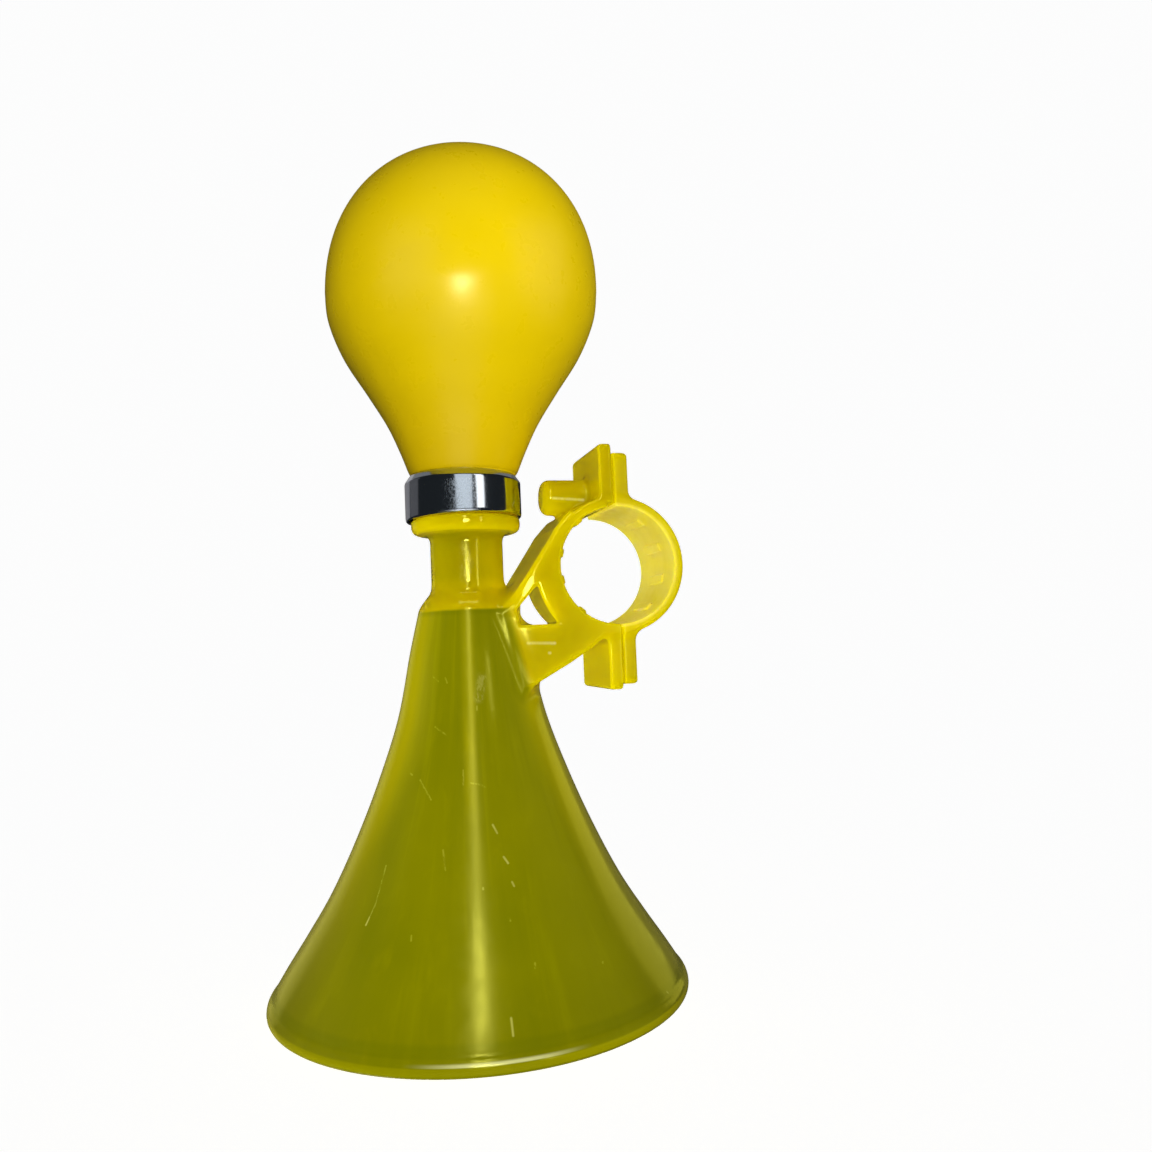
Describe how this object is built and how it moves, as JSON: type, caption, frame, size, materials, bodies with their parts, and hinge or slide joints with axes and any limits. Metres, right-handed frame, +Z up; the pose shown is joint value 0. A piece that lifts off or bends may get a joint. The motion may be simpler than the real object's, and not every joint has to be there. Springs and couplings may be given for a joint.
{
  "type": "bicycle horn",
  "caption": "Squeeze horn with a flared bell, reed in the neck, rubber bulb held by a plated band, and a two-piece screw clamp ring for a handlebar.",
  "frame": {"origin": "centre of the plane of the bell's mouth, on which the horn stands", "axes": "+Z up along the horn's axis towards the bulb, +X from that axis towards the clamp ring, +Y along the clamp's bore"},
  "size_m": [0.09, 0.088, 0.1822],
  "materials": {
    "bell_plastic": "translucent olive yellow, glossy with fine scratches",
    "bracket_plastic": "yellow, slightly translucent, glossy",
    "screw_steel": "zinc plated",
    "bulb_rubber": "satin yellow",
    "band_chrome": "bright plated",
    "holder_plastic": "natural",
    "reed_brass": "rolled strip",
    "wedge_plastic": "dull"
  },
  "bodies": {
    "horn": {"bell": "bell_plastic", "clamp_bracket": "bracket_plastic", "band": "band_chrome", "reed_holder": "holder_plastic", "reed_wedge": "wedge_plastic"},
    "bulb": {"bulb": "bulb_rubber"},
    "clamp_half": {"clamp_half": "bracket_plastic"},
    "clamp_screw": {"clamp_screw": "screw_steel"},
    "reed_tongue": {"reed_tongue": "reed_brass"}
  },
  "joints": [
    {"name": "bulb_squeeze", "type": "slide", "parent": "horn", "child": "bulb", "axis": [0, 0, -1], "range_m": [0, 0.012], "stiffness_N_per_m": 1500, "springref_m": -0.0004, "deforming": ["bulb"]},
    {"name": "clamp_open", "type": "slide", "parent": "horn", "child": "clamp_half", "axis": [1, 0, 0], "range_m": [0, 0.008]},
    {"name": "screw_turn", "type": "hinge", "parent": "clamp_half", "child": "clamp_screw", "pos_m": [0.0342, 0, 0.1055], "axis": [1, 0, 0], "range_deg": [0, 2060]},
    {"name": "reed_beat", "type": "hinge", "parent": "horn", "child": "reed_tongue", "pos_m": [0, -0.0015, 0.1065], "axis": [1, 0, 0], "range_deg": [-1.2, 1], "stiffness_Nm_per_rad": 0.05}
  ],
  "couplings": [
    {"joint": "screw_turn", "follows": "clamp_open", "rad_per_m": 4488}
  ]
}
